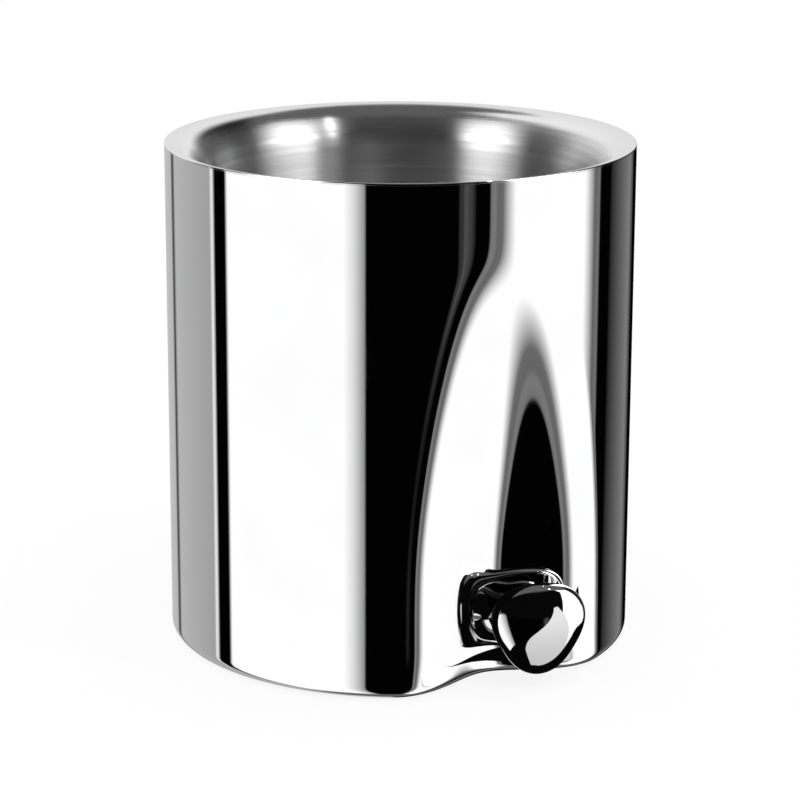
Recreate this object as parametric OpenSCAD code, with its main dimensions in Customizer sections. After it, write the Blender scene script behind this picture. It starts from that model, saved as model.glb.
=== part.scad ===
// Double walled champagne bucket in polished steel. Two flutes are pressed into the
// outer shell at the base, and a domed knob bolted to the flank of each is a grip.
// Heights are from the table. Azimuths are turned from the front towards the right,
// and the axis of the front knob points straight to the front.

/* [Bucket] */
// Outside diameter
bucket_d = 210; // [200:1:225]
// Height from the table to the top of the rim
bucket_h = 227; // [215:1:250]

/* [Outer shell] */
// Thickness of the sheet
shell_t = 1.2; // [0.8:0.1:1.6]
// Radius of the edge round the base
base_edge_r = 5; // [3:0.5:7]
// Width of the hem turned in under the base
hem_w = 8; // [5:0.5:10]

/* [Flute] */
// Depth of the flute where it is full
flute_depth = 18.3; // [15:0.1:20]
// Height at which the flute runs out
flute_top = 190.5; // [180:0.5:200]
// Height over which the flute fades from full depth to nothing
flute_run = 129; // [118:1:140]
// Softness of the turn from full depth into the fade
flute_ease = 1.3; // [0.8:0.1:3]
// Half of the width at the base, in degrees
flute_half_base = 30.6; // [27:0.1:35]
// Half of the width where the flute runs out, in degrees
flute_half_top = 12.8; // [10:0.1:16]
// How late the sides close in towards the top, where a higher value gives a rounder arch
flute_arch = 2.7; // [1.5:0.1:4]
// Shape of the section, where a higher value gives a narrower trough
flute_shape = 1; // [0.9:0.02:1.4]
// Azimuth of the middle of the flute at the base
flute_az = 15.1; // [13:0.1:17]
// Turn of the middle from the base to where the flute runs out, in degrees
flute_lean = -1.8; // [-3:0.1:0]
// Extra depth where the sheet tucks in above the base
tuck_depth = 4.5; // [0:0.5:7]
// Height of the tuck
tuck_h = 22; // [15:1:30]

/* [Liner] */
// Width of the lip, from the outside of the shell to the mouth
lip_w = 18; // [15:0.5:22]
// Height of the floor
floor_h = 47; // [44:0.5:60]
// Thickness of the sheet
liner_t = 1; // [0.6:0.1:1.4]
// Fall of the rounded lip, from the rim to the upright wall of the mouth
lip_h = 8.5; // [6:0.5:12]
// Radius between the wall and the floor
bowl_r = 55; // [45:1:60]
// Gap left between the liner and the deepest part of the flute
liner_gap = 2; // [1.5:0.1:4]

/* [Base] */
// Thickness of the base plate
base_t = 1.2; // [0.8:0.1:2]
// Clearance round the edge of the base plate
base_gap = 0.5; // [0.3:0.1:1]
// Height of the foot ring below the shell
foot_h = 0.6; // [0.4:0.1:2]
// Width of the foot ring
foot_w = 26; // [15:1:35]
// Clearance between the foot ring and the hem
foot_gap = 3; // [1:0.5:6]

/* [Knob] */
// Azimuth of the seat on the flank of the flute
knob_az = 26.3; // [24:0.1:28]
// Height of the axis
knob_h = 27; // [25:0.5:34]
// Diameter of the head, midway between its flat sides and its three corners
head_d = 41.4; // [36:0.2:45]
// Rise of a corner above that round, and fall of a flat side below it
head_lobe = 1.5; // [0.5:0.1:2]
// Thickness of the head at its rim, from the back to where the dome begins
head_rim_t = 2.6; // [2.4:0.1:4]
// Radius of the domed front
dome_r = 37; // [32:0.5:45]
// Radius round the front edge of the head
head_edge_r = 4.6; // [3.6:0.1:5.4]
// Radius round the back edge of the head
head_back_r = 2; // [1:0.1:2.3]
// Diameter of the neck
neck_d = 15; // [13:0.5:18]
// Distance from the shell to the back of the head
neck_l = 7.6; // [6:0.1:10]
// Radius of the hollow where the neck meets the head
neck_cove_r = 2; // [1:0.1:3]

/* [Fixings] */
// Diameter of the stud
stud_d = 6; // [5:0.5:8]
// Clearance of the stud in the parts it passes through
stud_gap = 0.15; // [0.05:0.05:0.3]
// Depth of the stud in the knob
stud_depth = 12; // [9:0.5:13]
// Length of the stud showing past the nut
stud_end = 2; // [1:0.5:4]
// Diameter of the flat seat pressed into the flank
seat_d = 21; // [19:0.5:24]
// Thickness of the seat
seat_t = 3; // [2.8:0.1:4]
// Thickness of the seal washer
seal_t = 0.8; // [0.5:0.1:1.2]
// Thickness of the backing plate
backing_t = 2; // [1.5:0.1:3]
// Side of the backing plate
backing_w = 15; // [13:0.5:16]
// Thickness of the lock washer
lock_t = 1.6; // [1.2:0.1:2]
// Slit in the lock washer
lock_slit = 1; // [0.6:0.1:1.6]
// Nut size across the flats
nut_af = 10; // [9:0.5:13]
// Nut thickness
nut_t = 5; // [4:0.5:6.5]

/* [Hidden] */
$fn = 96;
shell_r = bucket_d / 2;
mouth_r = shell_r - lip_w;
head_r = head_d / 2;
half_turn = 180;
quarter_turn = 90;
eps = 0.01;
// The top edge of the shell carries the underside of the lip
shell_top = bucket_h - liner_t;
edge_z = foot_h + base_edge_r;
// Softness of the very end of the flute
fade_ease = 0.5;
// Beyond this many ease widths the soft step is straight
ease_reach = 30;
flute_half = max(flute_half_base, flute_half_top);
// Fineness of the pressed sheet
wall_steps = 24;
inner_steps = 10;
edge_steps = 4;
flute_steps = 32;
plain_step = 5;
// Rows crowd together towards the base
row_crowd = 0.55;
// Clearance between the flat under the lip and the bore of the shell
land_gap = 0.4;
arc_steps = 16;
// Fineness of the knob
knob_columns = 48;
knob_steps = 4;
dome_steps = 7;
// Height below which the flute is deeper than the space round the liner
liner_space = lip_w - shell_t - liner_t - liner_gap;
flute_z = flute_top - liner_space * flute_run / flute_depth;
// The straight wall of the liner ends above that height
bowl_z = max(floor_h + bowl_r, flute_z);
bowl_x = mouth_r - bowl_r;
hem_z = foot_h + shell_t;
seat_r = wall_r(knob_az, knob_h);
knob_x = seat_r * sin(knob_az);
seat_y = seat_r * cos(knob_az);
seat_lip = 1;
seat_cut = 6;
neck_r = neck_d / 2;
head_corners = 3;
// The dome leaves the round of the head's edge where the two are tangent
head_edge_x = head_r - head_edge_r;
dome_turn = acos(head_edge_x / (dome_r - head_edge_r));
dome_s = neck_l + head_rim_t - (dome_r - head_edge_r) * sin(dome_turn);
hole_r = stud_d / 2 + stud_gap;
backing_s = seat_t;
lock_s = backing_s + backing_t;
nut_s = lock_s + lock_t;
stud_s = nut_s + nut_t + stud_end;
lock_r = nut_af / 2;
hex_sides = 6;
nut_chamfer = 0.6;

// Zero below nought and straight above it, with a rounded turn
function soft_step(x, ease) = x > ease_reach * ease ? x : ease * ln(1 + exp(x / ease));

// Depth of the flute at a height, without the tuck at the base
function fade_depth(z) =
    let (rise = soft_step((flute_top - z) * flute_depth / flute_run, fade_ease))
    rise - soft_step(rise - flute_depth, flute_ease);

// Depth of the flute at a height
function depth_at(z) = fade_depth(z) + tuck_depth * pow(max(0, 1 - z / tuck_h), 2);

// Share of the flute's height that lies below a height
function flute_share(z) = min(1, z / flute_top);

// Half of the flute's width at a height, in degrees
function half_at(z) =
    flute_half_base + (flute_half_top - flute_half_base) * pow(flute_share(z), flute_arch);

// Azimuth of the flute's middle at a height
function middle_az(z) = flute_az + flute_lean * flute_share(z);

// Share of the depth at a part of the half width
function trough(u) = u >= 1 ? 0 : pow((1 + cos(half_turn * u)) / 2, flute_shape);

// Radius of the outside of the shell
function wall_r(az, z) =
    shell_r - depth_at(z) * trough(abs(az - middle_az(z)) / half_at(z));

// Height of a row of the pressed sheet
function row_z(t) = edge_z + (flute_top - edge_z) * t * (1 - row_crowd * (1 - t));

// Inset from the outside and height of each point round the section of the sheet
function shell_rows() = concat(
    [[0, shell_top]],
    [for (i = [wall_steps:-1:0]) [0, row_z(i / wall_steps)]],
    [for (i = [1:edge_steps]) edge_row(base_edge_r, quarter_turn * i / edge_steps)],
    [[base_edge_r + hem_w, foot_h]],
    [[base_edge_r + hem_w, hem_z]],
    [for (i = [edge_steps:-1:0]) edge_row(base_edge_r - shell_t, quarter_turn * i / edge_steps)],
    [for (i = [1:inner_steps]) [shell_t, row_z(i / inner_steps)]],
    [[shell_t, shell_top]]
);

// Point on the round of the base edge
function edge_row(r, turn) = [base_edge_r - r * cos(turn), edge_z - r * sin(turn)];

// Point of the sheet at an azimuth, on the front half or turned to the rear
function sheet_point(az, turn, row) =
    let (r = wall_r(az, row[1]) - row[0])
    [r * sin(az + turn), -r * cos(az + turn), row[1]];

// Points on part of an oval in a section
function oval(x, z, half_w, half_h, from, to, steps = arc_steps) = [
    for (i = [0:steps])
        let (turn = from + (to - from) * i / steps)
        [x + half_w * cos(turn), z + half_h * sin(turn)]
];

// Points on an arc in a section
function arc(x, z, r, from, to, steps = arc_steps) = oval(x, z, r, r, from, to, steps);

// Section of a knob from the foot of its neck to the edge of its head
function back_section() = concat(
    [[neck_r, seal_t]],
    arc(neck_r + neck_cove_r, neck_l - neck_cove_r, neck_cove_r, half_turn, quarter_turn, knob_steps),
    arc(head_r - head_back_r, neck_l + head_back_r, head_back_r, -quarter_turn, 0, knob_steps)
);

// Section of a knob from the edge of its head to the last point before the top of the dome
function front_section() = concat(
    arc(head_edge_x, neck_l + head_rim_t, head_edge_r, 0, dome_turn, knob_steps),
    [for (i = [1:dome_steps - 1])
        let (turn = dome_turn + (quarter_turn - dome_turn) * i / dome_steps)
        [dome_r * cos(turn), dome_s + dome_r * sin(turn)]]
);

// Radius, distance from the seat and share of the corners for each row of a knob
function knob_rows() = concat(
    [for (p = back_section()) [p[0], p[1], pow((p[0] - neck_r) / (head_r - neck_r), 2)]],
    [for (p = front_section()) [p[0], p[1], pow(p[0] / head_r, 2)]]
);

// Point of a knob, where the round neck swells into three corners with one straight down
function knob_point(turn, row) =
    let (r = row[0] + head_lobe * row[2] * sin(head_corners * turn))
    [r * cos(turn), r * sin(turn), row[1]];

// Outline of the base plate over one half turn
function base_outline(turn) = [
    for (i = [0:flute_steps + plain_arcs() - 1])
        let (az = column_az(i))
        let (r = wall_r(az, hem_z) - base_edge_r - base_gap)
        [r * sin(az + turn), -r * cos(az + turn)]
];

// Number of plain columns between two flutes
function plain_arcs() = ceil((half_turn - 2 * flute_half) / plain_step);

// Azimuth of a column, first across the flute and then along the plain wall
function column_az(i) = i <= flute_steps
    ? flute_az + flute_half * (2 * i / flute_steps - 1)
    : flute_az + flute_half + (half_turn - 2 * flute_half) * (i - flute_steps) / plain_arcs();

// Pressed sheet of the shell, closed all the way round
module sheet() {
    rows = shell_rows();
    n = len(rows);
    half_columns = flute_steps + plain_arcs();
    count = 2 * half_columns;
    points = [
        for (turn = [0, half_turn])
            for (i = [0:half_columns - 1])
                for (row = rows)
                    sheet_point(column_az(i), turn, row)
    ];
    faces = [
        for (i = [0:count - 1])
            for (k = [0:n - 1])
                let (a = i * n + k)
                let (b = i * n + (k + 1) % n)
                let (c = (i + 1) % count * n + (k + 1) % n)
                let (d = (i + 1) % count * n + k)
                for (face = [[a, c, b], [a, d, c]])
                    face
    ];
    polyhedron(points = points, faces = faces, convexity = 8);
}

// Moves a part to the axis of a knob, with its own axis running outward from the seat
module at_knob() {
    translate([knob_x, -seat_y, knob_h])
        rotate([quarter_turn, 0, 0])
            children();
}

// Repeats a part on the far side
module to_rear() {
    rotate([0, 0, half_turn])
        children();
}

// Flat seat for a knob, with the hole for its stud
module seat() {
    at_knob()
        translate([0, 0, -seat_t])
            difference() {
                cylinder(d = seat_d, h = seat_t);
                translate([0, 0, -eps])
                    cylinder(r = hole_r, h = seat_t + 2 * eps);
            }
}

// Opening in the sheet that the seat fills, a little smaller than the seat
module seat_opening() {
    at_knob()
        translate([0, 0, -seat_cut])
            cylinder(d = seat_d - 2 * seat_lip, h = 2 * seat_cut);
}

module outer_shell() {
    color([0.78, 0.79, 0.80])
        union() {
            difference() {
                sheet();
                seat_opening();
                to_rear() seat_opening();
            }
            seat();
            to_rear() seat();
        }
}

module inner_liner() {
    rim_r = liner_t / 2;
    land_x = shell_r - shell_t - land_gap;
    round_w = land_x - mouth_r;
    lip_z = bucket_h - lip_h;
    color([0.70, 0.71, 0.72])
        rotate_extrude()
            polygon(concat(
                arc(shell_r - rim_r, bucket_h - rim_r, rim_r, -quarter_turn, quarter_turn),
                oval(land_x, lip_z, round_w, lip_h, quarter_turn, half_turn),
                arc(bowl_x, bowl_z, bowl_r, 0, -quarter_turn),
                [[0, bowl_z - bowl_r], [0, bowl_z - bowl_r - liner_t]],
                arc(bowl_x, bowl_z, bowl_r + liner_t, -quarter_turn, 0),
                oval(land_x, lip_z, round_w - liner_t, lip_h - liner_t, half_turn, quarter_turn)
            ));
}

module base_plate() {
    color([0.62, 0.63, 0.64])
        translate([0, 0, hem_z])
            linear_extrude(base_t)
                polygon(concat(base_outline(0), base_outline(half_turn)));
}

module foot_ring() {
    outer = wall_r(flute_az, foot_h) - base_edge_r - hem_w - foot_gap;
    color([0.12, 0.12, 0.13])
        difference() {
            cylinder(r = outer, h = hem_z);
            translate([0, 0, -eps])
                cylinder(r = outer - foot_w, h = hem_z + 2 * eps);
        }
}

// Outside of a knob, lofted from the foot of its neck to the top of its dome
module knob_form() {
    rows = knob_rows();
    n = len(rows);
    top = knob_columns * n;
    points = concat(
        [for (i = [0:knob_columns - 1])
            for (row = rows)
                knob_point(2 * half_turn * i / knob_columns, row)],
        [[0, 0, dome_s + dome_r]]
    );
    sides = [
        for (i = [0:knob_columns - 1])
            for (k = [0:n - 2])
                let (a = i * n + k)
                let (d = (i + 1) % knob_columns * n + k)
                for (face = [[a, a + 1, d + 1], [a, d + 1, d]])
                    face
    ];
    dome_top = [
        for (i = [0:knob_columns - 1])
            [i * n + n - 1, top, (i + 1) % knob_columns * n + n - 1]
    ];
    foot = [[for (i = [0:knob_columns - 1]) i * n]];
    polyhedron(points = points, faces = concat(sides, dome_top, foot), convexity = 4);
}

module knob() {
    color([0.80, 0.81, 0.82])
        difference() {
            knob_form();
            translate([0, 0, -eps])
                cylinder(r = hole_r, h = stud_depth + eps);
        }
}

module seal() {
    color([0.10, 0.10, 0.11])
        difference() {
            cylinder(d = neck_d, h = seal_t);
            translate([0, 0, -eps])
                cylinder(r = hole_r, h = seal_t + 2 * eps);
        }
}

module stud() {
    color([0.66, 0.66, 0.66])
        translate([0, 0, -stud_s])
            cylinder(d = stud_d, h = stud_s + stud_depth);
}

module backing() {
    color([0.60, 0.61, 0.62])
        translate([0, 0, -lock_s])
            difference() {
                translate([-backing_w / 2, -backing_w / 2, 0])
                    cube([backing_w, backing_w, backing_t]);
                translate([0, 0, -eps])
                    cylinder(r = hole_r, h = backing_t + 2 * eps);
            }
}

module lock_washer() {
    color([0.58, 0.58, 0.58])
        translate([0, 0, -nut_s])
            difference() {
                cylinder(r = lock_r, h = lock_t);
                translate([0, 0, -eps])
                    cylinder(r = hole_r, h = lock_t + 2 * eps);
                translate([-lock_slit / 2, 0, -eps])
                    cube([lock_slit, nut_af, lock_t + 2 * eps]);
            }
}

module nut() {
    corner_r = nut_af / 2 / cos(half_turn / hex_sides);
    color([0.64, 0.64, 0.64])
        translate([0, 0, -nut_s - nut_t])
            difference() {
                intersection() {
                    cylinder(r = corner_r, h = nut_t, $fn = hex_sides);
                    rotate_extrude()
                        polygon([
                            [0, 0],
                            [corner_r - nut_chamfer, 0],
                            [corner_r, nut_chamfer],
                            [corner_r, nut_t],
                            [0, nut_t]
                        ]);
                }
                translate([0, 0, -eps])
                    cylinder(r = hole_r, h = nut_t + 2 * eps);
            }
}

module front_knob() { at_knob() knob(); }
module front_seal() { at_knob() seal(); }
module front_stud() { at_knob() stud(); }
module front_backing() { at_knob() backing(); }
module front_lock_washer() { at_knob() lock_washer(); }
module front_nut() { at_knob() nut(); }
module rear_knob() { to_rear() front_knob(); }
module rear_seal() { to_rear() front_seal(); }
module rear_stud() { to_rear() front_stud(); }
module rear_backing() { to_rear() front_backing(); }
module rear_lock_washer() { to_rear() front_lock_washer(); }
module rear_nut() { to_rear() front_nut(); }

outer_shell();
inner_liner();
base_plate();
foot_ring();
front_knob();
front_seal();
front_stud();
front_backing();
front_lock_washer();
front_nut();
rear_knob();
rear_seal();
rear_stud();
rear_backing();
rear_lock_washer();
rear_nut();
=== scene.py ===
"""Looks of a double walled champagne bucket in polished steel.

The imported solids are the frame. The pressed shell, the spun liner and the turned knobs are
made again here as fine surfaces from the same sizes, the liner with a rounder lip, and every
piece gets its finish.
Lengths are metres. Azimuths turn from the front, -Y, towards the right, +X.
"""

import logging
import math
from dataclasses import dataclass, field
from enum import Enum

import bmesh
import bpy
import numpy as np
from bpy.types import ID, Material, Mesh, Node, NodeSocket, NodeTree, Object
from mathutils import Matrix


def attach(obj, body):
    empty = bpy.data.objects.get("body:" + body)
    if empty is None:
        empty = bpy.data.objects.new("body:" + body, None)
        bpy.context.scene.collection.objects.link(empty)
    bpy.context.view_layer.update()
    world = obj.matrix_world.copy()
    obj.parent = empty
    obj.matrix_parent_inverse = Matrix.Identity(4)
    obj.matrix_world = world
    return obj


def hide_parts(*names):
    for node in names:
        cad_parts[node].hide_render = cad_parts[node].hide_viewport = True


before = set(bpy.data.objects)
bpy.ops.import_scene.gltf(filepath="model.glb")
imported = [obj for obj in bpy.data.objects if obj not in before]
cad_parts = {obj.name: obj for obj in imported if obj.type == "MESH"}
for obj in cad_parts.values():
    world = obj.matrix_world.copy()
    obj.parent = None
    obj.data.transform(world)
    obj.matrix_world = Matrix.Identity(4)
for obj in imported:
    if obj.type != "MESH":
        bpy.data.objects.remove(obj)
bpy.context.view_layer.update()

logging.basicConfig(level=logging.INFO, format="%(name)s: %(message)s")
LOG = logging.getLogger("bucket")

Pair = tuple[float, float]
Grid = tuple[np.ndarray, np.ndarray]
Pattern = tuple[NodeSocket, NodeSocket, NodeSocket]

MM = 0.001
CAMERA_TURN = -13.0
ROOT = "root"
SURFACE_UV = "surface"
QUARTERS = (0.0, 0.25, 0.5, 0.75, 1.0)
LIP_MASK = "lip"
WELD = 1e-7


class Side(Enum):
    """The two sides with a flute and a knob, each with its sign in a half turn about the axis."""

    FRONT = 1.0
    REAR = -1.0

    @property
    def label(self) -> str:
        """Name of the side in the names of its pieces."""
        return self.name.lower()


class Slot(Enum):
    """Names of the record's material slots for the new pieces, which are passed along but not set.
    """

    POLISHED = "polished_steel"
    SATIN = "satin_steel"


def linear(tone: float) -> float:
    """Turns a display tone from 0 to 255 into a linear light value from 0 to 1."""
    share = tone / 255.0
    return share / 12.92 if share <= 0.04045 else ((share + 0.055) / 1.055) ** 2.4


def grey(light: float) -> tuple[float, float, float, float]:
    """A colour with one light value in all its channels."""
    return (light, light, light, 1.0)


def spin(angle: float, axis: str) -> Matrix:
    """A turn about an axis, by an angle in degrees."""
    return Matrix.Rotation(math.radians(angle), 4, axis)


def arc(x: float, z: float, r: float, start: float, end: float, count: int) -> np.ndarray:
    """Points on an arc: centre plus radius times cosine and sine of an even sweep, in degrees."""
    turn = np.radians(np.linspace(start, end, count))
    return np.stack([x + r * np.cos(turn), z + r * np.sin(turn)], axis=1)


def line(a: Pair, b: Pair, count: int) -> np.ndarray:
    """Points between two ends, both left out: a (1 - t) + b t at even steps of t."""
    share = np.linspace(0.0, 1.0, count + 2)[1:-1, None]
    return np.asarray(a) * (1.0 - share) + np.asarray(b) * share


def run_length(points: np.ndarray) -> np.ndarray:
    """Length along a line of points, from its first point to each: the sum of the steps."""
    step = np.linalg.norm(np.diff(points, axis=0), axis=1)
    return np.concatenate([[0.0], np.cumsum(step)])


def link(name: str, data: ID) -> Object:
    """Makes an object of a mesh, a lamp or a camera and links it to the scene.

    Args:
        name: Name of the object.
        data: What it holds.

    Returns:
        The new object, at the origin.
    """
    obj = bpy.data.objects.new(name, data)
    bpy.context.scene.collection.objects.link(obj)
    return obj


def grid_object(
    name: str,
    points: np.ndarray,
    across: np.ndarray,
    along: np.ndarray,
    closed: bool,
    mask: np.ndarray | None = None,
) -> Object:
    """Makes a mesh from a grid of points that is closed in its first direction.

    Cell (i, k) joins point (i, k) to its neighbours i + 1 and k + 1, so the faces are one
    whole array of indices. Rows that meet at a pole are welded.

    Args:
        name: Name of the piece.
        points: Grid of columns by rows by three coordinates.
        across: Run round the piece at each column and at the closing one, for the UV map.
        along: Run along the section at each row and at the closing one, for the UV map.
        closed: True where the section is a closed loop.
        mask: Value of the lip mask at each row, if the piece has one.

    Returns:
        The new object, at the origin.
    """
    columns, rows = points.shape[:2]
    cells = rows if closed else rows - 1
    i, k = np.meshgrid(np.arange(columns), np.arange(cells), indexing="ij")
    i, k = i.ravel(), k.ravel()
    corner_i = np.stack([i, i + 1, i + 1, i], axis=1)
    corner_k = np.stack([k, k, k + 1, k + 1], axis=1)
    faces = (corner_i % columns) * rows + corner_k % rows
    uv = np.stack([across[corner_i], along[corner_k]], axis=2)
    mesh = bpy.data.meshes.new(name)
    mesh.vertices.add(columns * rows)
    mesh.vertices.foreach_set("co", points.reshape(-1).astype(np.float32))
    mesh.loops.add(faces.size)
    mesh.loops.foreach_set("vertex_index", faces.reshape(-1).astype(np.int32))
    mesh.polygons.add(len(faces))
    mesh.polygons.foreach_set("loop_start", np.arange(0, faces.size, 4, dtype=np.int32))
    layer = mesh.uv_layers.new(name=SURFACE_UV)
    layer.data.foreach_set("uv", uv.reshape(-1).astype(np.float32))
    if mask is not None:
        values = np.broadcast_to(mask, (columns, rows)).reshape(-1).astype(np.float32)
        mesh.attributes.new(LIP_MASK, "FLOAT", "POINT").data.foreach_set("value", values)
    mesh.update(calc_edges=True)
    close_mesh(mesh)
    mesh.validate()
    return link(name, mesh)


def close_mesh(mesh: Mesh) -> None:
    """Welds the poles of a mesh, turns its faces outward and shades it smooth.

    Args:
        mesh: The mesh to finish.
    """
    work = bmesh.new()
    work.from_mesh(mesh)
    bmesh.ops.remove_doubles(work, verts=work.verts, dist=WELD)
    bmesh.ops.dissolve_degenerate(work, edges=work.edges, dist=WELD)
    if work.calc_volume(signed=True) < 0.0:
        bmesh.ops.reverse_faces(work, faces=work.faces)
    work.to_mesh(mesh)
    work.free()
    mesh.polygons.foreach_set("use_smooth", np.ones(len(mesh.polygons), dtype=bool))
    mesh.update()


def round_axis(turn: np.ndarray, r: np.ndarray, z: np.ndarray) -> np.ndarray:
    """Grid of points about the upright axis: x = r sin a and y = -r cos a at azimuth a."""
    return np.stack(np.broadcast_arrays(r * np.sin(turn), -r * np.cos(turn), z), axis=2)


@dataclass(frozen=True)
class Graph:
    """A node tree with short ways to place nodes and join them."""

    tree: NodeTree

    def join(self, source: NodeSocket, target: NodeSocket) -> None:
        """Links one socket to another."""
        self.tree.links.new(source, target)

    def node(
        self, kind: str, inputs: dict[str | int, object] | None = None, **settings: object,
    ) -> Node:
        """Adds a node.

        Args:
            kind: Blender's name for the node type.
            inputs: A socket, a number or a colour for an input, by the input's name or place.
            settings: Properties to set on it.

        Returns:
            The new node.
        """
        new = self.tree.nodes.new(kind)
        for key, value in settings.items():
            setattr(new, key, value)
        for key, value in (inputs or {}).items():
            if isinstance(value, NodeSocket):
                self.join(value, new.inputs[key])
            else:
                new.inputs[key].default_value = value
        return new

    def math(self, operation: str, a: object, b: object = 0.0) -> NodeSocket:
        """Adds a Math node for two values or sockets and gives its result."""
        return self.node("ShaderNodeMath", {0: a, 1: b}, operation=operation).outputs[0]

    def spread(
        self, value: object, low: float, high: float, to_low: object, to_high: object,
        smooth: bool = False,
    ) -> NodeSocket:
        """Adds a Map Range node.

        Args:
            value: Value or socket to map.
            low: Start of its range.
            high: End of its range.
            to_low: Result at the start.
            to_high: Result at the end.
            smooth: True for a rounded step.

        Returns:
            The result's socket.
        """
        kind = "SMOOTHSTEP" if smooth else "LINEAR"
        ends = {"From Min": low, "From Max": high, "To Min": to_low, "To Max": to_high}
        new = self.node("ShaderNodeMapRange", {"Value": value, **ends}, interpolation_type=kind)
        return new.outputs["Result"]

    def blend(self, factor: object, a: object, b: object) -> NodeSocket:
        """Adds a colour Mix node for two colours or sockets and gives its result."""
        return self.node("ShaderNodeMix", {0: factor, 6: a, 7: b}, data_type="RGBA").outputs[2]

    def noise(self, vector: NodeSocket, scale: object, detail: float) -> NodeSocket:
        """Adds a Noise Texture on the given coordinates and gives its value."""
        inputs = {"Vector": vector, "Scale": scale, "Detail": detail}
        return self.node("ShaderNodeTexNoise", inputs).outputs[0]

    def cover(self, share: NodeSocket, under: Node, over: Node) -> None:
        """Sends a mix of two shaders to the material's output.

        Args:
            share: Share of the second shader.
            under: First shader.
            over: Second shader.
        """
        shaders = {0: share, 1: under.outputs[0], 2: over.outputs[0]}
        mix = self.node("ShaderNodeMixShader", shaders)
        self.join(mix.outputs[0], self.tree.nodes["Material Output"].inputs["Surface"])


def new_material(name: str, values: dict[str, object]) -> tuple[Material, Graph, Node]:
    """Makes a material with a Principled shader in it.

    Args:
        name: Name of the material.
        values: Values of the shader's inputs.

    Returns:
        The material, its graph and the shader's node.
    """
    material = bpy.data.materials.new(name)
    material.use_nodes = True
    shader = material.node_tree.nodes["Principled BSDF"]
    for key, value in values.items():
        shader.inputs[key].default_value = value
    return material, Graph(material.node_tree), shader


def open_sheet(name: str, points: np.ndarray, material: Material) -> Object:
    """Makes an open sheet for the studio from a grid of points, with a face in each cell.

    Args:
        name: Name of the sheet.
        points: Grid of columns by rows by three coordinates.
        material: Its material.

    Returns:
        The new object.
    """
    columns, rows = points.shape[:2]
    i, k = np.meshgrid(np.arange(columns - 1), np.arange(rows - 1), indexing="ij")
    first = (i * rows + k).ravel()
    faces = np.stack([first, first + rows, first + rows + 1, first + 1], axis=1)
    mesh = bpy.data.meshes.new(name)
    mesh.from_pydata(points.reshape(-1, 3).tolist(), [], faces.tolist())
    mesh.materials.append(material)
    return link(name, mesh)


@dataclass(frozen=True)
class Effects:
    """Node groups that several finishes share."""

    LINE_STRETCH = (0.01, 1.0, 1.0)
    LINE_DETAIL = 3.0
    BAND_DETAIL = 2.0
    BAND_RANGE = (0.3, 0.7)
    SMUDGE_DETAIL = 4.0
    SMUDGE_RANGE = (0.45, 0.75)
    THREAD_STRETCH = (1.0, 9.0, 2.0)
    THREAD_SCALE = 3.0
    THREAD_DETAIL = 5.0
    THREAD_MIDDLE = 0.5
    THREAD_WIDTH = 0.01

    brush_lines: NodeTree
    handling: NodeTree

    @classmethod
    def build(cls) -> "Effects":
        """Builds the groups once."""
        return cls(cls.make_brush_lines(), cls.make_handling())

    @staticmethod
    def new_group(
        name: str, values: tuple[str, ...], results: tuple[str, ...],
    ) -> tuple[Graph, Node, Node]:
        """Makes a group with a Vector input, named values and named results.

        Args:
            name: Name of the group.
            values: Name of each other input.
            results: Name of each output.

        Returns:
            The group's graph, its input node and its output node.
        """
        tree = bpy.data.node_groups.new(name, "ShaderNodeTree")
        tree.interface.new_socket("Vector", in_out="INPUT", socket_type="NodeSocketVector")
        for way, keys in (("INPUT", values), ("OUTPUT", results)):
            for key in keys:
                tree.interface.new_socket(key, in_out=way, socket_type="NodeSocketFloat")
        graph = Graph(tree)
        return graph, graph.node("NodeGroupInput"), graph.node("NodeGroupOutput")

    @classmethod
    def make_brush_lines(cls) -> NodeTree:
        """Fine parallel lines: noise that is stretched along the first coordinate.

        Returns:
            A group with Height, from the fine lines, and Shade, from broader bands.
        """
        results = ("Height", "Shade")
        graph, start, end = cls.new_group("brush_lines", ("Lines", "Bands"), results)
        stretch = {"Vector": start.outputs["Vector"], "Scale": cls.LINE_STRETCH}
        drawn = graph.node("ShaderNodeMapping", stretch).outputs[0]
        fine = graph.noise(drawn, start.outputs["Lines"], cls.LINE_DETAIL)
        broad = graph.noise(drawn, start.outputs["Bands"], cls.BAND_DETAIL)
        graph.join(fine, end.inputs["Height"])
        graph.join(graph.spread(broad, *cls.BAND_RANGE, 0.0, 1.0), end.inputs["Shade"])
        return graph.tree

    @classmethod
    def make_handling(cls) -> NodeTree:
        """Faint smudges and hairlines: soft noise, and noise cut to thin bands.

        Returns:
            A group with Smudge and Hairline, each from 0 to 1.
        """
        results = ("Smudge", "Hairline")
        graph, start, end = cls.new_group("handling_marks", ("Scale",), results)
        vector, scale = start.outputs["Vector"], start.outputs["Scale"]
        cloud = graph.noise(vector, scale, cls.SMUDGE_DETAIL)
        smudge = graph.spread(cloud, *cls.SMUDGE_RANGE, 0.0, 1.0, True)
        graph.join(smudge, end.inputs["Smudge"])
        stretch = {"Vector": vector, "Scale": cls.THREAD_STRETCH}
        drawn = graph.node("ShaderNodeMapping", stretch).outputs[0]
        finer = graph.math("MULTIPLY", scale, cls.THREAD_SCALE)
        thread = graph.noise(drawn, finer, cls.THREAD_DETAIL)
        offset = graph.math("ABSOLUTE", graph.math("SUBTRACT", thread, cls.THREAD_MIDDLE))
        hairline = graph.spread(offset, 0.0, cls.THREAD_WIDTH, 1.0, 0.0)
        graph.join(hairline, end.inputs["Hairline"])
        return graph.tree


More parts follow.
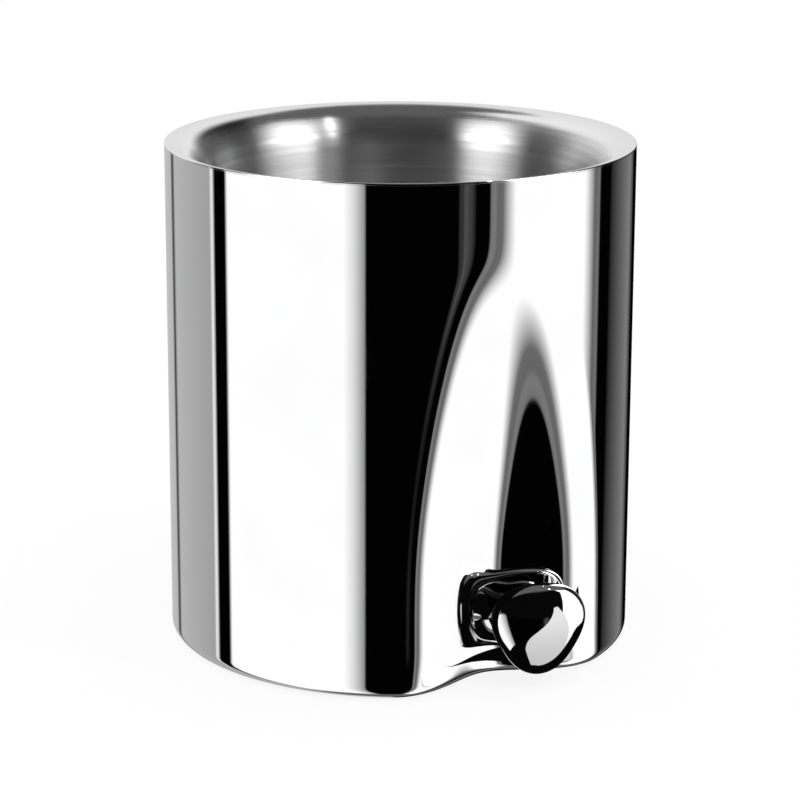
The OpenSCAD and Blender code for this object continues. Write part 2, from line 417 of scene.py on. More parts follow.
@dataclass(frozen=True)
class Finish:
    """A finish: the values that its shader holds all over, and the measures of its marks."""

    name: str
    colour: tuple[float, float, float]
    metallic: float
    roughness: float
    effects: Effects
    anisotropic: float = 0.0
    brush_turn: float = 0.0
    lines: float = 1800.0
    bands: float = 240.0
    marks_scale: float = 40.0
    stained: float = 0.88
    bump: float = 0.15
    bump_depth: float = 0.06 * MM
    smudge_rough: float = 0.12
    hairline_rough: float = -0.08

    def material(self) -> Material:
        """Builds the material, with colour, roughness and relief from the finish's pattern."""
        material, graph, shader = new_material(self.name, {
            "Base Color": (*self.colour, 1.0),
            "Metallic": self.metallic,
            "Roughness": self.roughness,
            "Anisotropic": self.anisotropic,
            "Anisotropic Rotation": self.brush_turn,
        })
        colour, rough, height = self.pattern(graph)
        relief = {"Strength": self.bump, "Distance": self.bump_depth, "Height": height}
        graph.join(colour, shader.inputs["Base Color"])
        graph.join(rough, shader.inputs["Roughness"])
        graph.join(graph.node("ShaderNodeBump", relief).outputs[0], shader.inputs["Normal"])
        return material

    def pattern(self, graph: Graph) -> Pattern:
        """Draws the finish in the way of its kind and gives colour, roughness and height."""
        raise NotImplementedError

    def brush(self, graph: Graph, vector: NodeSocket) -> Node:
        """Places the brush lines in this finish's own fineness."""
        inputs = {"Vector": vector, "Lines": self.lines, "Bands": self.bands}
        return graph.node("ShaderNodeGroup", inputs, node_tree=self.effects.brush_lines)

    def marks(self, graph: Graph, vector: NodeSocket) -> Node:
        """Places the smudges and hairlines in this finish's own scale."""
        inputs = {"Vector": vector, "Scale": self.marks_scale}
        return graph.node("ShaderNodeGroup", inputs, node_tree=self.effects.handling)

    def stain(self, graph: Graph, amount: NodeSocket) -> NodeSocket:
        """Turns the colour into a multiple of itself where a mask is full."""
        changed = tuple(c * self.stained for c in self.colour)
        return graph.blend(amount, (*self.colour, 1.0), (*changed, 1.0))


@dataclass(frozen=True)
class PlainSteel(Finish):
    """Rolled or machined steel with drawn lines, smudges and hairlines."""

    stain_bands: bool = True

    def pattern(self, graph: Graph) -> Pattern:
        """Draws lines and marks on Object coordinates, and stains the bands or the smudges."""
        place = graph.node("ShaderNodeTexCoord").outputs["Object"]
        lines, marks = self.brush(graph, place), self.marks(graph, place)
        smudge = marks.outputs["Smudge"]
        colour = self.stain(graph, lines.outputs["Shade"] if self.stain_bands else smudge)
        rougher = self.roughness + self.smudge_rough
        rough = graph.spread(smudge, 0.0, 1.0, self.roughness, rougher)
        hairline = graph.math("MULTIPLY", marks.outputs["Hairline"], self.hairline_rough)
        return colour, graph.math("ADD", rough, hairline), lines.outputs["Height"]


@dataclass(frozen=True)
class PolishedSteel(PlainSteel):
    """Mirror polish with faint smudges, hairlines and the last traces of the polishing mop."""

    lines: float = 2600.0
    bands: float = 160.0
    marks_scale: float = 26.0
    stained: float = 0.985
    bump: float = 0.02
    bump_depth: float = 0.02 * MM
    smudge_rough: float = 0.025
    hairline_rough: float = 0.02
    stain_bands: bool = False


@dataclass(frozen=True)
class SatinSteel(Finish):
    """Satin steel brushed round the axis, with a finer polish on the lip."""

    anisotropic: float = 1.0
    brush_turn: float = 0.25
    lines: float = 2400.0
    bands: float = 420.0
    marks_scale: float = 24.0
    stained: float = 0.84
    bump: float = 0.12
    bump_depth: float = 0.08 * MM
    smudge_rough: float = 0.03
    band_rough: Pair = (-0.04, 0.06)
    lip_roughness: float = 0.1
    lip_tone: float = 0.95
    lip_relief: float = 0.25

    def pattern(self, graph: Graph) -> Pattern:
        """Draws lines and smudges on the piece's own UV map, with the lip mask over them."""
        uv = graph.node("ShaderNodeUVMap", uv_map=SURFACE_UV).outputs["UV"]
        lip = graph.node("ShaderNodeAttribute", attribute_name=LIP_MASK).outputs["Fac"]
        lines, marks = self.brush(graph, uv), self.marks(graph, uv)
        bands = lines.outputs["Shade"]
        streak = graph.math("MULTIPLY", bands, graph.math("SUBTRACT", 1.0, lip))
        colour = graph.blend(lip, self.stain(graph, streak), grey(self.lip_tone))
        finest, roughest = (self.roughness + change for change in self.band_rough)
        wall = graph.spread(bands, 0.0, 1.0, finest, roughest)
        rough = graph.spread(lip, 0.0, 1.0, wall, self.lip_roughness)
        smudge = graph.math("MULTIPLY", marks.outputs["Smudge"], self.smudge_rough)
        relief = graph.spread(lip, 0.0, 1.0, 1.0, self.lip_relief)
        height = graph.math("MULTIPLY", lines.outputs["Height"], relief)
        return colour, graph.math("ADD", rough, smudge), height


@dataclass(frozen=True)
class MattRubber(Finish):
    """Matt black rubber with a fine moulded grain and paler scuffs."""

    marks_scale: float = 60.0
    stained: float = 1.8
    bump: float = 0.3
    bump_depth: float = 0.1 * MM
    hairline_rough: float = -0.15
    grain: float = 2200.0
    grain_detail: float = 4.0

    def pattern(self, graph: Graph) -> Pattern:
        """Draws scuffs and grain on Object coordinates."""
        place = graph.node("ShaderNodeTexCoord").outputs["Object"]
        marks = self.marks(graph, place)
        worn = self.roughness + self.hairline_rough
        rough = graph.spread(marks.outputs["Hairline"], 0.0, 1.0, self.roughness, worn)
        colour = self.stain(graph, marks.outputs["Smudge"])
        return colour, rough, graph.noise(place, self.grain, self.grain_detail)


@dataclass(frozen=True)
class FlutedWall:
    """Outside of the shell: a round wall with a trough pressed into it on two sides."""

    radius: float = 105.0 * MM
    flute_depth: float = 18.3 * MM
    flute_top: float = 190.5 * MM
    flute_run: float = 129.0 * MM
    flute_ease: float = 1.3 * MM
    fade_ease: float = 0.5 * MM
    half_base: float = 30.6
    half_top: float = 12.8
    arch: float = 2.7
    azimuth: float = 15.1
    lean: float = -1.8
    tuck_depth: float = 4.5 * MM
    tuck_height: float = 22.0 * MM

    @staticmethod
    def soft_step(x: np.ndarray, ease: float) -> np.ndarray:
        """Zero below nought and straight above it: ease times ln(1 + exp(x / ease))."""
        return ease * np.logaddexp(0.0, x / ease)

    def depth(self, z: np.ndarray) -> np.ndarray:
        """Depth of the trough: a slope that starts and levels off softly, plus a tuck at the base.

        Args:
            z: Heights.

        Returns:
            The depth at each height.
        """
        slope = self.flute_depth / self.flute_run
        rise = self.soft_step((self.flute_top - z) * slope, self.fade_ease)
        fade = rise - self.soft_step(rise - self.flute_depth, self.flute_ease)
        return fade + self.tuck_depth * np.maximum(0.0, 1.0 - z / self.tuck_height) ** 2

    def reach(self, azimuth: np.ndarray, z: np.ndarray) -> np.ndarray:
        """Radius of the wall: the round less the depth times a raised cosine across the trough.

        Args:
            azimuth: Azimuths, in degrees.
            z: Heights, of a shape that goes with the azimuths.

        Returns:
            The radius at each point.
        """
        share = np.minimum(1.0, z / self.flute_top)
        half = self.half_base + (self.half_top - self.half_base) * share ** self.arch
        middle = self.azimuth + self.lean * share
        turn = np.abs((azimuth - middle + 90.0) % 180.0 - 90.0) / half
        trough = (1.0 + np.cos(np.pi * np.minimum(turn, 1.0))) / 2.0
        return self.radius - self.depth(z) * trough


@dataclass
class OuterShell:
    """The pressed shell with its base edge and the hem turned in under it."""

    wall: FlutedWall = field(default_factory=FlutedWall)
    sheet: float = 1.2 * MM
    edge_radius: float = 5.0 * MM
    hem: float = 8.0 * MM
    foot: float = 0.6 * MM
    top: float = 226.0 * MM
    corner: float = 0.05 * MM
    columns: int = 480
    wall_rows: int = 130
    inner_rows: int = 30
    edge_rows: int = 10
    crowd: float = 0.35

    def heights(self, count: int) -> np.ndarray:
        """Row heights from the base edge to the top, closer together near the base."""
        share = np.linspace(0.0, 1.0, count)
        low = self.foot + self.edge_radius
        return low + (self.top - low) * share * (1.0 - self.crowd * (1.0 - share))

    def section(self) -> np.ndarray:
        """Inset from the outside and height of each point round the sheet.

        The loop runs down the outside, round the base edge, in along the hem, back, and up
        the inside.

        Returns:
            The closed loop of points.
        """
        edge_z = self.foot + self.edge_radius
        outside = self.heights(self.wall_rows)[::-1]
        inside = self.heights(self.inner_rows)
        r = self.edge_radius
        round_out = arc(r, edge_z, r, 180.0, 270.0, self.edge_rows)[1:]
        round_in = arc(r, edge_z, r - self.sheet, 270.0, 180.0, self.edge_rows)
        hem_in = r + self.hem
        return np.concatenate([
            [[0.0, self.top], [0.0, self.top - self.corner]],
            np.stack([np.zeros_like(outside), outside], axis=1)[1:],
            round_out,
            [[hem_in, self.foot], [hem_in, self.foot + self.sheet]],
            round_in,
            np.stack([np.full_like(inside, self.sheet), inside], axis=1)[1:],
        ])

    def build(self) -> Object:
        """Makes the shell, whose radius is that of the wall less the inset."""
        section = self.section()
        inset, z = section[:, 0], section[:, 1]
        turn = np.linspace(0.0, 360.0, self.columns + 1)
        a = turn[:-1, None]
        points = round_axis(np.radians(a), self.wall.reach(a, z[None, :]) - inset, z)
        across = np.radians(turn) * self.wall.radius
        along = run_length(np.concatenate([section, section[:1]]))
        return grid_object("pressed_shell", points, across, along, True)


@dataclass
class InnerLiner:
    """The spun liner: a round bowl with a straight wall and a wide lip over the shell."""

    rim_radius: float = 105.0 * MM
    height: float = 227.0 * MM
    mouth_radius: float = 87.0 * MM
    sheet: float = 1.0 * MM
    lip_radius: float = 20.0 * MM
    edge_radius: float = 0.5 * MM
    seam: float = 0.05 * MM
    bowl_radius: float = 55.0 * MM
    bowl_height: float = 102.0 * MM
    land: float = 103.4 * MM
    polish_end: float = 126.0
    satin_start: float = 140.0
    columns: int = 360
    floor_rows: int = 6
    bowl_rows: int = 36
    wall_rows: int = 36
    lip_rows: int = 48
    edge_rows: int = 6
    under_rows: int = 16
    back_rows: int = 12

    def profile(self) -> Grid:
        """Section from the middle of the floor up the inside, over the lip and back underneath.

        The lip is a round that leaves the upright wall and meets the crisp rim at a slight slope.
        Its polish fades into the satin between two angles of the round.

        Returns:
            Radius and height of each row, and the lip mask of each row.
        """
        lip_x = self.mouth_radius + self.lip_radius
        rim_x = self.rim_radius - self.edge_radius
        lip_end = math.degrees(math.acos((rim_x - lip_x) / self.lip_radius))
        lip_z = self.height - self.lip_radius * math.sin(math.radians(lip_end))
        under = self.lip_radius - self.sheet
        under_end = math.degrees(math.acos((self.land - lip_x) / under))
        bowl_x = self.mouth_radius - self.bowl_radius
        floor_z = self.bowl_height - self.bowl_radius
        outer = self.bowl_radius + self.sheet
        back = self.mouth_radius + self.sheet
        edge_z = self.height - self.edge_radius
        land_z = self.height - self.sheet + self.seam
        inside = [
            np.array([[0.0, floor_z]]),
            line((0.0, floor_z), (bowl_x, floor_z), self.floor_rows),
            arc(bowl_x, self.bowl_height, self.bowl_radius, -90.0, 0.0, self.bowl_rows),
            line(
                (self.mouth_radius, self.bowl_height), (self.mouth_radius, lip_z), self.wall_rows,
            ),
        ]
        lip = [
            arc(lip_x, lip_z, self.lip_radius, 180.0, lip_end, self.lip_rows),
            arc(rim_x, edge_z, self.edge_radius, 90.0, 0.0, self.edge_rows)[1:],
            np.array([[self.rim_radius, land_z + self.seam], [self.rim_radius, land_z]]),
        ]
        outside = [
            np.array([[self.land, land_z]]),
            arc(lip_x, lip_z, under, under_end, 180.0, self.under_rows),
            line((back, lip_z), (back, self.bowl_height), self.back_rows),
            arc(bowl_x, self.bowl_height, outer, 0.0, -90.0, self.under_rows),
            np.array([[0.0, floor_z - self.sheet]]),
        ]
        points = np.concatenate(inside + lip + outside)
        turn = np.linspace(180.0, lip_end, self.lip_rows)
        fade = self.satin_start - self.polish_end
        polish = np.clip((self.satin_start - turn) / fade, 0.0, 1.0)
        before, after = (sum(len(part) for part in run) for run in (inside, outside))
        mask = np.ones(len(points))
        mask[:before] = 0.0
        mask[before:before + self.lip_rows] = polish
        mask[len(points) - after:] = 0.0
        return points, mask

    def build(self) -> Object:
        """Makes the liner by carrying its section round the axis."""
        profile, mask = self.profile()
        r, z = profile[:, 0], profile[:, 1]
        turn = np.linspace(0.0, 2.0 * np.pi, self.columns + 1)
        points = round_axis(turn[:-1, None], r, z)
        across = turn * float(r.max())
        return grid_object("spun_liner", points, across, run_length(profile), False, mask)


@dataclass
class Knob:
    """A domed knob with three soft corners that stands square on the flank of a flute."""

    side: Side
    wall: FlutedWall = field(default_factory=FlutedWall)
    azimuth: float = 26.3
    height: float = 27.0 * MM
    seal: float = 0.8 * MM
    neck_radius: float = 7.5 * MM
    neck_length: float = 7.6 * MM
    cove: float = 2.0 * MM
    head_radius: float = 20.7 * MM
    head_lobe: float = 1.5 * MM
    head_rim: float = 2.6 * MM
    head_edge: float = 4.6 * MM
    head_back: float = 2.0 * MM
    dome: float = 37.0 * MM
    corners: int = 3
    columns: int = 192
    foot_rows: int = 2
    neck_rows: int = 6
    cove_rows: int = 14
    plate_rows: int = 12
    back_rows: int = 26
    edge_rows: int = 22
    dome_rows: int = 60

    def back(self) -> np.ndarray:
        """Section from the foot of the neck, through the cove, to the edge of the head.

        Returns:
            Radius and distance from the seat of each row.
        """
        edge_x = self.head_radius - self.head_back
        edge_s = self.neck_length + self.head_back
        neck = self.neck_radius
        cove_x, cove_s = neck + self.cove, self.neck_length - self.cove
        return np.concatenate([
            [[0.0, self.seal]],
            line((0.0, self.seal), (neck, self.seal), self.foot_rows),
            [[neck, self.seal]],
            line((neck, self.seal), (neck, cove_s), self.neck_rows),
            arc(cove_x, cove_s, self.cove, 180.0, 90.0, self.cove_rows),
            line((cove_x, self.neck_length), (edge_x, self.neck_length), self.plate_rows),
            arc(edge_x, edge_s, self.head_back, -90.0, 0.0, self.back_rows),
        ])

    def front(self) -> np.ndarray:
        """Section from the edge of the head to the top of the dome.

        The dome leaves the round of the edge where the two are tangent.

        Returns:
            Radius and distance from the seat of each row.
        """
        edge_x = self.head_radius - self.head_edge
        rim_s = self.neck_length + self.head_rim
        turn = math.acos(edge_x / (self.dome - self.head_edge))
        dome_s = rim_s - (self.dome - self.head_edge) * math.sin(turn)
        end = math.degrees(turn)
        return np.concatenate([
            arc(edge_x, rim_s, self.head_edge, 0.0, end, self.edge_rows),
            arc(0.0, dome_s, self.dome, end, 90.0, self.dome_rows)[1:],
        ])

    def build(self) -> Object:
        """Makes the knob round an axis that runs straight out of the seat.

        The radius is the section's own plus a share of the lobe times sin(3 turn). The share is
        nought at the neck and on the axis, and grows with the square of the way to the rim.

        Returns:
            The new object.
        """
        back, front = self.back(), self.front()
        section = np.concatenate([back, front])
        reach = self.head_radius - self.neck_radius
        way = np.maximum(0.0, back[:, 0] - self.neck_radius) / reach
        share = np.concatenate([way, front[:, 0] / self.head_radius]) ** 2
        turn = np.linspace(0.0, 2.0 * np.pi, self.columns + 1)
        a = turn[:-1, None]
        r = section[:, 0] + self.head_lobe * share * np.sin(self.corners * a)
        seat = float(self.wall.reach(np.array(self.azimuth), np.array(self.height)))
        flank = math.radians(self.azimuth)
        sign = self.side.value
        points = np.stack([
            sign * (seat * math.sin(flank) + r * np.cos(a)),
            np.broadcast_to(sign * (-seat * math.cos(flank) - section[:, 1]), r.shape),
            self.height + r * np.sin(a),
        ], axis=2)
        name = f"{self.side.label}_domed_knob"
        return grid_object(name, points, turn * self.head_radius, run_length(section), False)


@dataclass(frozen=True)
class Board:
    """An upright board of the studio, from one azimuth to another, as the polished steel shows it.

    Azimuths turn from the camera towards the right. The tone runs evenly from the first edge to
    the last, and the tones between two boards run evenly from one to the other.
    """

    start: float
    end: float
    tone: float
    end_tone: float | None = None

    @property
    def last(self) -> float:
        """Tone at the last edge."""
        return self.tone if self.end_tone is None else self.end_tone


@dataclass
class Studio:
    """Pale floor, white backdrop, small lamp and the boards that the polished steel shows.

    The boards are upright, so they are a tone for each azimuth. They are given in the world,
    where polished pieces see them and the floor does not. Faint streaks lie over them, but not
    low down. Above the horizon lies a ceiling of such boards, with one tone at its top, which
    starts higher at the rear left. Straight below lies one tone more. An edge between zones is
    a range of the sine of the elevation, and for the rear left one of the share of the turn.
    """

    level: float = 1.1
    floor_half: float = 6.0
    floor_points: int = 3
    floor_glow: float = 0.85
    floor_colour: float = 0.94
    floor_roughness: float = 0.9
    lamp_turn: float = 56.0
    lamp_rise: float = 57.0
    lamp_reach: float = 1.5
    lamp_size: float = 0.03
    lamp_energy: float = 1.4
    boards: tuple[Board, ...] = (
        Board(-180.0, -150.0, 205.0, 184.0),
        Board(-146.5, -146.0, 50.0),
        Board(-142.0, -105.0, 183.0, 161.0),
        Board(-103.7, -102.8, 230.0),
        Board(-101.0, -93.4, 2.0),
        Board(-91.4, -27.0, 258.0),
        Board(-22.0, -17.0, 220.0, 145.0),
        Board(-16.1, 43.2, 2.0),
        Board(44.0, 46.0, 115.0, 122.0),
        Board(47.3, 50.0, 101.0, 106.0),
        Board(57.0, 100.0, 258.0),
        Board(108.0, 111.6, 97.0, 116.0),
        Board(113.0, 122.0, 2.0),
        Board(125.0, 149.0, 48.0, 126.0),
        Board(158.0, 176.0, 3.0),
        Board(179.0, 180.0, 205.0),
    )
    streaks: tuple[Board, ...] = (
        Board(-180.0, 27.5, 0.0),
        Board(28.8, 30.0, 50.0),
        Board(31.0, 31.4, 78.0),
        Board(33.2, 33.8, 62.0),
        Board(36.5, 180.0, 0.0),
    )
    ceiling: tuple[Board, ...] = (
        Board(-180.0, -150.0, 225.0, 240.0),
        Board(-146.0, -130.0, 240.0),
        Board(-116.0, -84.0, 30.0),
        Board(-66.0, -43.0, 440.0),
        Board(-37.0, 52.0, 8.0),
        Board(56.0, 82.0, 440.0),
        Board(98.0, 157.0, 40.0, 30.0),
        Board(166.0, 180.0, 236.0, 225.0),
    )
    streak_edge: Pair = (-0.36, -0.26)
    horizon: Pair = (-0.05, 0.04)
    zenith_tone: float = 92.0
    zenith_edge: Pair = (0.66, 0.76)
    rear_lift: float = 0.2
    rear_start: Pair = (0.055, 0.085)
    rear_end: Pair = (0.17, 0.2)
    foot_tone: float = 96.0
    foot_edge: Pair = (-0.9, -0.96)

    @staticmethod
    def ramp(graph: Graph, share: NodeSocket, boards: tuple[Board, ...]) -> NodeSocket:
        """Adds four Color Ramps, one for each quarter of the turn, that hold the boards' tones.

        A quarter also gets the light at its two ends, read between the edges on both sides.

        Args:
            graph: The world's graph.
            share: Azimuth as a share of the turn.
            boards: Boards in order of azimuth.

        Returns:
            The colour socket.
        """
        edges = [edge for board in boards for edge in (board.start, board.end)]
        turns = [(edge + 180.0) / 360.0 for edge in edges]
        lights = [linear(tone) for board in boards for tone in (board.tone, board.last)]
        colour = None
        for low, high in zip(QUARTERS, QUARTERS[1:]):
            places = [low, *(turn for turn in turns if low < turn < high), high]
            share_here = graph.spread(share, low, high, 0.0, 1.0)
            node = graph.node("ShaderNodeValToRGB", {0: share_here})
            points = node.color_ramp.elements
            while len(points) < len(places):
                points.new(0.5)
            for point, place, light in zip(points, places, np.interp(places, turns, lights)):
                point.position = (place - low) / (high - low)
                point.color = grey(light)
            tone = node.outputs[0]
            past = graph.math("GREATER_THAN", share, low)
            colour = tone if colour is None else graph.blend(past, colour, tone)
        return colour

    def build_world(self) -> None:
        """Makes the world: white to the camera, even to matt surfaces, boards to polished ones."""
        world = bpy.data.worlds.new("studio")
        world.use_nodes = True
        bpy.context.scene.world = world
        if hasattr(world, "cycles"):
            world.cycles.sampling_method = "NONE"
        graph = Graph(world.node_tree)
        background = world.node_tree.nodes["Background"]
        seen_way = graph.node("ShaderNodeTexCoord").outputs["Generated"]
        way = graph.node("ShaderNodeSeparateXYZ", {0: seen_way})
        front = graph.math("MULTIPLY", way.outputs["Y"], -1.0)
        azimuth = graph.math("ARCTAN2", way.outputs["X"], front)
        turn = graph.math("SUBTRACT", azimuth, math.radians(CAMERA_TURN))
        ends = {0: turn, 1: math.pi, 2: -math.pi}
        wrapped = graph.node("ShaderNodeMath", ends, operation="WRAP").outputs[0]
        share = graph.spread(wrapped, -math.pi, math.pi, 0.0, 1.0)
        rise = way.outputs["Z"]
        high = graph.spread(rise, *self.streak_edge, 0.0, 1.0)
        streaks = graph.math("MULTIPLY", self.ramp(graph, share, self.streaks), high)
        boards = graph.math("MAXIMUM", self.ramp(graph, share, self.boards), streaks)
        ceiling = self.ramp(graph, share, self.ceiling)
        upper = graph.spread(rise, *self.horizon, 0.0, 1.0, True)
        seen = graph.blend(upper, boards, ceiling)
        rear = graph.spread(share, *self.rear_start, 0.0, self.rear_lift)
        side = graph.spread(share, *self.rear_end, 1.0, 0.0)
        lifted = graph.math("SUBTRACT", rise, graph.math("MULTIPLY", rear, side))
        top = graph.spread(lifted, *self.zenith_edge, 0.0, 1.0, True)
        seen = graph.blend(top, seen, grey(linear(self.zenith_tone)))
        below = graph.spread(rise, *self.foot_edge, 0.0, 1.0, True)
        seen = graph.blend(below, seen, grey(linear(self.foot_tone)))
        rays = graph.node("ShaderNodeLightPath").outputs
        mirror = graph.math("MAXIMUM", rays["Is Glossy Ray"], rays["Is Transmission Ray"])
        colour = graph.blend(mirror, grey(self.level), seen)
        colour = graph.blend(rays["Is Camera Ray"], colour, grey(1.0))
        graph.join(colour, background.inputs["Color"])

    def build_floor(self) -> None:
        """Makes the pale floor, which keeps the soft shadow and stays out of the polished steel."""
        side = np.linspace(-self.floor_half, self.floor_half, self.floor_points)
        x, y = np.meshgrid(side, side, indexing="ij")
        material, graph, shader = new_material("pale_floor", {
            "Base Color": grey(self.floor_colour),
            "Roughness": self.floor_roughness,
            "Specular IOR Level": 0.0,
        })
        camera = graph.node("ShaderNodeLightPath").outputs["Is Camera Ray"]
        glow = graph.math("MULTIPLY", camera, self.floor_glow)
        graph.cover(glow, shader, graph.node("ShaderNodeEmission"))
        points = np.stack([x, y, np.zeros_like(x)], axis=2)
        floor = open_sheet("studio_floor", points, material)
        floor.visible_glossy = False

    def build_lamp(self) -> None:
        """Makes the small lamp, up on the right, for the highlights on the knobs and the liner."""
        lamp = bpy.data.lights.new("studio_lamp", "AREA")
        lamp.shape = "DISK"
        lamp.size = self.lamp_size
        lamp.energy = self.lamp_energy
        turn = spin(self.lamp_turn + CAMERA_TURN, "Z") @ spin(90.0 - self.lamp_rise, "X")
        stand = Matrix.Translation((0.0, 0.0, self.lamp_reach))
        link("studio_lamp", lamp).matrix_world = turn @ stand

    def build(self) -> None:
        """Builds the world, the floor and the lamp, and sets the plain view transform."""
        bpy.context.scene.view_settings.view_transform = "Standard"
        self.build_world()
        self.build_floor()
        self.build_lamp()


@dataclass
class PaintedLightCards:
    """Curved cards round the front knob that paint light and shade into what its polish shows.

    Each is a patch of a sphere round the middle of the knob's face, and shows from inside and
    close by, so that it shows in the knob and hardly elsewhere. Azimuths turn from the camera
    towards the right. A pale glowing card stands in front and paints a pale reflection, a dark
    one at the lower left paints shade, and a dark collar goes round the edge of the head, is
    open at the upper right and paints a dark rim of shade.
    """

    middle: tuple[float, float, float] = (62.2 * MM, -87.7 * MM, 27.0 * MM)
    radius: float = 60.0 * MM
    reach: float = 61.0 * MM
    rises: Pair = (-72.0, 22.0)
    left_middle: float = 16.0
    left_swing: float = 31.0
    left_rise: float = -20.0
    left_ease: float = 24.0
    right_foot: float = 63.5
    right_lean: float = -0.56
    right_end: float = 90.0
    # Tones of the glowing pale card, a painted reflection, from its foot to the knob's middle.
    tones: Pair = (198.0, 234.0)
    # Sphere, reach and tones of the dark cards, which paint shade into the knob.
    shade_radius: float = 32.0 * MM
    shade_reach: float = 33.0 * MM
    shade_tones: Pair = (6.0, 6.0)
    side_span: Pair = (-80.0, -20.0)
    side_low: float = -85.0
    side_tops: Pair = (-50.0, -34.0)
    collar_turn: float = 14.0
    collar_span: Pair = (80.0, 114.0)
    collar_arc: Pair = (380.0, 90.0)
    collar_ease: float = 36.0
    columns: int = 60
    rows: int = 40

    def build(self) -> None:
        """Makes the three cards: one of painted pale reflection and two of painted shade."""
        pale = self.material("painted_pale_reflection", self.tones, self.reach)
        dark = self.material("painted_shade_card", self.shade_tones, self.shade_reach)
        self.patch("painted_pale_reflection", *self.front(), self.radius, pale)
        self.patch("painted_shade_side", *self.side(), self.shade_radius, dark)
        self.patch("painted_shade_collar", *self.collar(), self.shade_radius, dark)

    def front(self) -> Grid:
        """Grid of the pale card of painted reflection, whose left edge swings out and right edge
        leans in as it rises.

        The left edge stands at middle + swing tanh((rise - left_rise) / ease), the right edge at
        foot + lean rise, and the columns lie evenly between them.

        Returns:
            Azimuths and elevations, in degrees.
        """
        rise = np.linspace(*self.rises, self.rows)[None, :]
        swing = np.tanh((rise - self.left_rise) / self.left_ease)
        left = self.left_middle + self.left_swing * swing
        right = np.minimum(self.right_foot + self.right_lean * rise, self.right_end)
        return left + (right - left) * np.linspace(0.0, 1.0, self.columns)[:, None], rise

    def side(self) -> Grid:
        """Grid of the dark side card of painted shade, whose top slopes up towards the front.

        Returns:
            Azimuths and elevations, in degrees.
        """
        top = np.linspace(*self.side_tops, self.columns)[:, None]
        share = np.linspace(0.0, 1.0, self.rows)[None, :]
        azimuth = np.linspace(*self.side_span, self.columns)[:, None]
        return azimuth, self.side_low + (top - self.side_low) * share

    def collar(self) -> Grid:
        """Grid of the dark collar of painted shade round the head's edge, which narrows to nothing
        at both ends.

        A point leans away from the head's axis by an angle and stands at an angle about it.

        Returns:
            Azimuths and elevations, in degrees.
        """
        first, last = self.collar_arc
        start, end = self.collar_span
        about = np.linspace(first, last, self.columns)[:, None]
        ends = np.minimum(np.minimum(about - last, first - about) / self.collar_ease, 1.0)
        lean = end - (end - start) * ends * np.linspace(1.0, 0.0, self.rows)[None, :]
        about, lean = np.radians(about), np.radians(lean)
        azimuth = np.degrees(np.arctan2(np.sin(lean) * np.cos(about), np.cos(lean)))
        return azimuth + self.collar_turn, np.degrees(np.arcsin(np.sin(lean) * np.sin(about)))

    def patch(
        self, name: str, azimuth: np.ndarray, rise: np.ndarray, radius: float, material: Material,
    ) -> None:
        """Makes a patch of a sphere round the middle of the knob's face, turned with the camera.

        Args:
            name: Name of the patch.
            azimuth: Azimuths of the grid, in degrees.
            rise: Elevations of the grid, in degrees.
            radius: Radius of the sphere.
            material: Material of the patch.
        """
        e = np.radians(rise)
        points = round_axis(np.radians(azimuth), radius * np.cos(e), radius * np.sin(e))
        turn = np.array(spin(CAMERA_TURN, "Z").to_3x3())
        card = open_sheet(name, (points + self.middle) @ turn.T, material)
        card.visible_camera = card.visible_diffuse = card.visible_shadow = False

    def material(self, name: str, tones: Pair, reach: float) -> Material:
        """Makes a card's glow of painted light, which runs from one tone at the foot to another at
        the middle.

        Args:
            name: Name of the material.
            tones: The two tones.
            reach: Longest way at which the card shows.

        Returns:
            The material, which is clear from outside and to rays from further away.
        """
        material, graph, shader = new_material(name, {
            "Base Color": grey(0.0), "Specular IOR Level": 0.0, "Emission Strength": 1.0,
        })
        point = graph.node("ShaderNodeTexCoord").outputs["Object"]
        place = graph.node("ShaderNodeSeparateXYZ", {0: point})
        low, high = (linear(tone) for tone in tones)
        foot = self.middle[2] - self.radius
        tone = graph.spread(place.outputs["Z"], foot, self.middle[2], low, high)
        graph.join(tone, shader.inputs["Emission Color"])
        length = graph.node("ShaderNodeLightPath").outputs["Ray Length"]
        inside = graph.node("ShaderNodeNewGeometry").outputs["Backfacing"]
        shown = graph.math("MULTIPLY", graph.math("LESS_THAN", length, reach), inside)
        graph.cover(shown, graph.node("ShaderNodeBsdfTransparent"), shader)
        return material


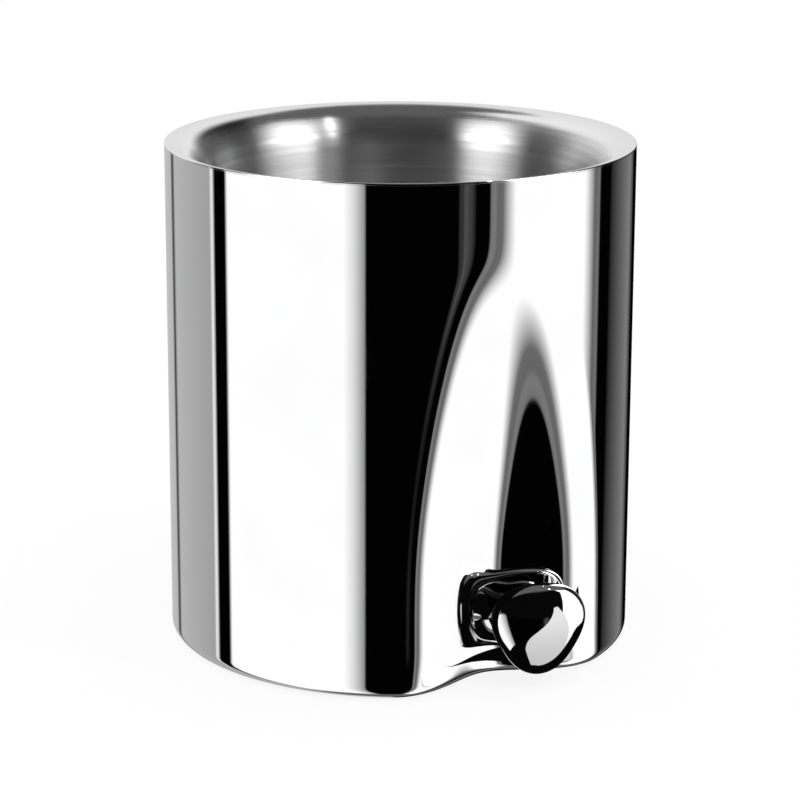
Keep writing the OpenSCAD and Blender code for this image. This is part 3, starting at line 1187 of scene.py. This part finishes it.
@dataclass
class Viewpoint:
    """The camera of the photograph: its place in front of the bucket, its pitch and its lens."""

    side: float = -1.1 * MM
    back: float = 1271.4 * MM
    height: float = 451.1 * MM
    pitch: float = 15.16
    roll: float = 0.202
    focal: float = 2887.2
    centre: Pair = (397.11, 400.02)
    picture: int = 800
    sensor: float = 36.0
    clip: Pair = (0.01, 50.0)

    def build(self) -> None:
        """Makes the camera and sets it as the scene's own."""
        data = bpy.data.cameras.new("photo_camera")
        data.sensor_fit = "HORIZONTAL"
        data.sensor_width = self.sensor
        data.lens = self.focal * self.sensor / self.picture
        half = self.picture / 2.0
        data.shift_x = (half - self.centre[0]) / self.picture
        data.shift_y = (self.centre[1] - half) / self.picture
        data.clip_start, data.clip_end = self.clip
        stand = Matrix.Translation((self.side, -self.back, self.height))
        tilt = spin(90.0 - self.pitch, "X") @ spin(self.roll, "Z")
        camera = link("photo_camera", data)
        camera.matrix_world = spin(CAMERA_TURN, "Z") @ stand @ tilt
        bpy.context.scene.camera = camera


def dress(obj: Object, material: Material) -> None:
    """Gives a piece one material in place of those it has."""
    obj.data.materials.clear()
    obj.data.materials.append(material)


def place(obj: Object, node: str, slot: Slot, material: Material) -> None:
    """Puts a new piece in the frame in place of a node.

    Args:
        obj: The new piece.
        node: The node that it stands for.
        slot: The record's material slot; not used.
        material: Its material.
    """
    dress(obj, material)
    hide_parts(node)
    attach(obj, ROOT)
    LOG.info("%s stands for %s with %d faces", obj.name, node, len(obj.data.polygons))


def main() -> None:
    """Builds the studio, the finishes and the pieces in order."""
    Viewpoint().build()
    Studio().build()
    effects = Effects.build()
    polished = PolishedSteel("mirror_steel", (0.97, 0.97, 0.975), 1.0, 0.02, effects).material()
    satin = SatinSteel("satin_steel", (0.80, 0.80, 0.805), 1.0, 0.333, effects).material()
    rolled = PlainSteel("rolled_steel", (0.60, 0.60, 0.61), 1.0, 0.38, effects).material()
    machined = PlainSteel("machined_steel", (0.58, 0.58, 0.58), 1.0, 0.32, effects, lines=3200.0)
    fixing = machined.material()
    rubber = MattRubber("matt_rubber", (0.022, 0.022, 0.023), 0.0, 0.72, effects).material()
    place(OuterShell().build(), "outer_shell", Slot.POLISHED, polished)
    place(InnerLiner().build(), "inner_liner", Slot.SATIN, satin)
    for side in Side:
        place(Knob(side).build(), f"{side.label}_knob", Slot.POLISHED, polished)
    # Glowing cards seen only in the front knob's polish: a painted pale reflection and painted
    # shade.
    PaintedLightCards().build()
    kept = {"base_plate": rolled, "foot_ring": rubber}
    for side in Side:
        kept[f"{side.label}_seal"] = rubber
        for piece in ("stud", "backing", "lock_washer", "nut"):
            kept[f"{side.label}_{piece}"] = fixing
    for name, material in kept.items():
        dress(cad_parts[name], material)
        LOG.info("%s keeps its solid", name)


if __name__ == "__main__":
    main()
